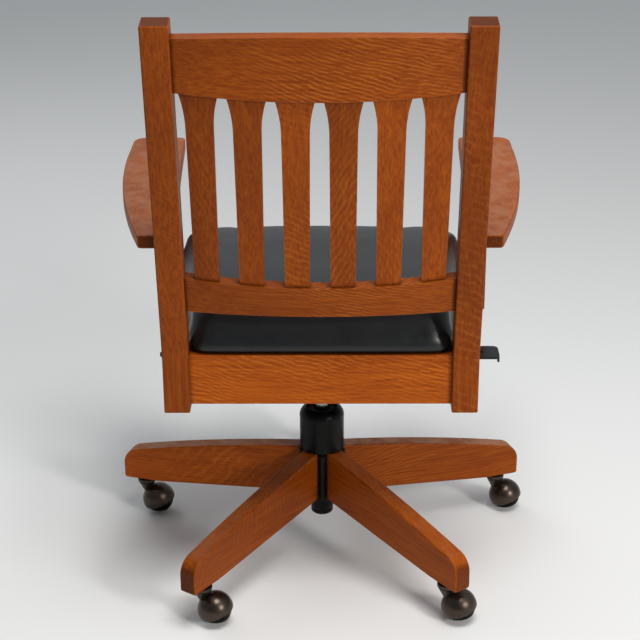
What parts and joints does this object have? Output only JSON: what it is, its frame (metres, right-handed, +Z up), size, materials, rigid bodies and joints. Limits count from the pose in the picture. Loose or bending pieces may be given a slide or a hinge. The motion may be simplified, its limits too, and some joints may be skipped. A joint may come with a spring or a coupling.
{
  "type": "swivel office armchair",
  "caption": "Oak swivel armchair with a slatted back, leather seat cushion, tilting and height-adjustable column, and a legged base on ball casters.",
  "frame": {"origin": "on the floor, on the axis of the column", "axes": "+Z up, -Y the way the sitter faces, +X to the sitter's left"},
  "size_m": [0.7229, 0.7239, 0.9837],
  "materials": {
    "oak": "amber-stained quarter-sawn oak, satin lacquer",
    "frame_wood": "plain planed hardwood",
    "plywood": "unfinished plywood",
    "leather": "charcoal black leather, soft sheen",
    "foam": "moulded foam",
    "black_steel": "satin black paint",
    "black_plastic": "satin black",
    "bush_plastic": "black bearing plastic",
    "cylinder_steel": "ground steel",
    "spring_steel": "black oiled spring steel",
    "bronze_finish": "dark antique bronze",
    "wheel_plastic": "hard black rolling surface",
    "zinc_steel": "zinc-plated steel"
  },
  "bodies": {
    "base": {"base_hub": "black_steel", "base_leg_1": "oak", "base_leg_2": "oak", "base_leg_3": "oak", "base_leg_4": "oak", "base_leg_5": "oak", "leg_fixings": "zinc_steel", "column_tube": "black_steel", "guide_bush": "bush_plastic", "column_cover": "black_plastic", "caster_sockets": "zinc_steel"},
    "piston": {"piston_rod": "cylinder_steel", "swivel_bearing": "zinc_steel"},
    "carrier": {"gas_cylinder": "cylinder_steel", "mechanism_housing": "black_steel", "tilt_pivot_pin": "zinc_steel", "tilt_spring": "spring_steel"},
    "release": {"release_pin": "zinc_steel"},
    "lever": {"height_lever_rod": "black_steel", "height_lever_paddle": "black_plastic"},
    "lock": {"tilt_lock_rod": "zinc_steel", "tilt_lock_grip": "black_plastic"},
    "tension": {"tension_bolt": "zinc_steel"},
    "knob": {"tension_knob": "black_plastic"},
    "seat": {"tilt_top_plate": "black_steel", "plate_bolts": "zinc_steel", "rear_post_left": "oak", "rear_post_right": "oak", "front_post_left": "oak", "front_post_right": "oak", "crest_rail": "oak", "lower_back_rail": "oak", "back_slat_1": "oak", "back_slat_2": "oak", "back_slat_3": "oak", "back_slat_4": "oak", "back_slat_5": "oak", "back_slat_6": "oak", "rear_seat_rail": "oak", "front_seat_rail": "oak", "side_seat_rail_left": "oak", "side_seat_rail_right": "oak", "corner_blocks": "frame_wood", "seat_bearers": "frame_wood", "seat_board": "plywood", "seat_foam": "foam", "seat_cover": "leather", "arm_left": "oak", "arm_right": "oak", "wood_screws": "zinc_steel"},
    "caster_1": {"caster_hood_1": "bronze_finish"},
    "wheel_1": {"caster_wheel_1": "wheel_plastic"},
    "caster_2": {"caster_hood_2": "bronze_finish"},
    "wheel_2": {"caster_wheel_2": "wheel_plastic"},
    "caster_3": {"caster_hood_3": "bronze_finish"},
    "wheel_3": {"caster_wheel_3": "wheel_plastic"},
    "caster_4": {"caster_hood_4": "bronze_finish"},
    "wheel_4": {"caster_wheel_4": "wheel_plastic"},
    "caster_5": {"caster_hood_5": "bronze_finish"},
    "wheel_5": {"caster_wheel_5": "wheel_plastic"}
  },
  "joints": [
    {"name": "seat_swivel", "type": "hinge", "parent": "base", "child": "piston", "pos_m": [0, 0, 0.1], "axis": [0, 0, 1], "continuous": true},
    {"name": "seat_height", "type": "slide", "parent": "piston", "child": "carrier", "axis": [0, 0, 1], "range_m": [-0.03, 0.07]},
    {"name": "seat_tilt", "type": "hinge", "parent": "carrier", "child": "seat", "pos_m": [0, -0.045, 0.342], "axis": [-1, 0, 0], "range_deg": [0, 12], "stiffness_Nm_per_rad": 80, "springref_deg": -20.05},
    {"name": "height_lever", "type": "hinge", "parent": "carrier", "child": "lever", "pos_m": [-0.057, 0, 0.3456], "axis": [0, 1, 0], "range_deg": [0, 2.5], "stiffness_Nm_per_rad": 2, "springref_deg": -5.73},
    {"name": "release_press", "type": "slide", "parent": "carrier", "child": "release", "axis": [0, 0, 1], "range_m": [-0.0026, 0]},
    {"name": "tilt_lock", "type": "slide", "parent": "carrier", "child": "lock", "axis": [1, 0, 0], "range_m": [-0.014, 0]},
    {"name": "tension_travel", "type": "slide", "parent": "carrier", "child": "tension", "axis": [0, 0, 1], "range_m": [0, 0.0111], "deforming": ["tilt_spring"]},
    {"name": "tension_turn", "type": "hinge", "parent": "tension", "child": "knob", "pos_m": [0, -0.098, 0.228], "axis": [0, 0, 1], "range_deg": [-360, 360]},
    {"name": "caster_swivel_1", "type": "hinge", "parent": "base", "child": "caster_1", "pos_m": [0.007, -0.33393, 0.0686], "axis": [0, 0, 1], "continuous": true},
    {"name": "wheel_roll_1", "type": "hinge", "parent": "caster_1", "child": "wheel_1", "pos_m": [-0.013, -0.33393, 0.0263], "axis": [0, -0.9397, 0.342], "continuous": true},
    {"name": "caster_swivel_2", "type": "hinge", "parent": "base", "child": "caster_2", "pos_m": [0.31975, -0.09654, 0.0686], "axis": [0, 0, 1], "continuous": true},
    {"name": "wheel_roll_2", "type": "hinge", "parent": "caster_2", "child": "wheel_2", "pos_m": [0.29974, -0.09654, 0.0263], "axis": [0, -0.9397, 0.342], "continuous": true},
    {"name": "caster_swivel_3", "type": "hinge", "parent": "base", "child": "caster_3", "pos_m": [0.19062, 0.27426, 0.0686], "axis": [0, 0, 1], "continuous": true},
    {"name": "wheel_roll_3", "type": "hinge", "parent": "caster_3", "child": "wheel_3", "pos_m": [0.17062, 0.27426, 0.0263], "axis": [0, -0.9397, 0.342], "continuous": true},
    {"name": "caster_swivel_4", "type": "hinge", "parent": "base", "child": "caster_4", "pos_m": [-0.20194, 0.26604, 0.0686], "axis": [0, 0, 1], "continuous": true},
    {"name": "wheel_roll_4", "type": "hinge", "parent": "caster_4", "child": "wheel_4", "pos_m": [-0.22194, 0.26604, 0.0263], "axis": [0, -0.9397, 0.342], "continuous": true},
    {"name": "caster_swivel_5", "type": "hinge", "parent": "base", "child": "caster_5", "pos_m": [-0.31542, -0.10984, 0.0686], "axis": [0, 0, 1], "continuous": true},
    {"name": "wheel_roll_5", "type": "hinge", "parent": "caster_5", "child": "wheel_5", "pos_m": [-0.33542, -0.10984, 0.0263], "axis": [0, -0.9397, 0.342], "continuous": true}
  ],
  "couplings": [
    {"joint": "release_press", "follows": "height_lever", "m_per_rad": -0.0595},
    {"joint": "tension_travel", "follows": "seat_tilt", "m_per_rad": 0.0526}
  ]
}
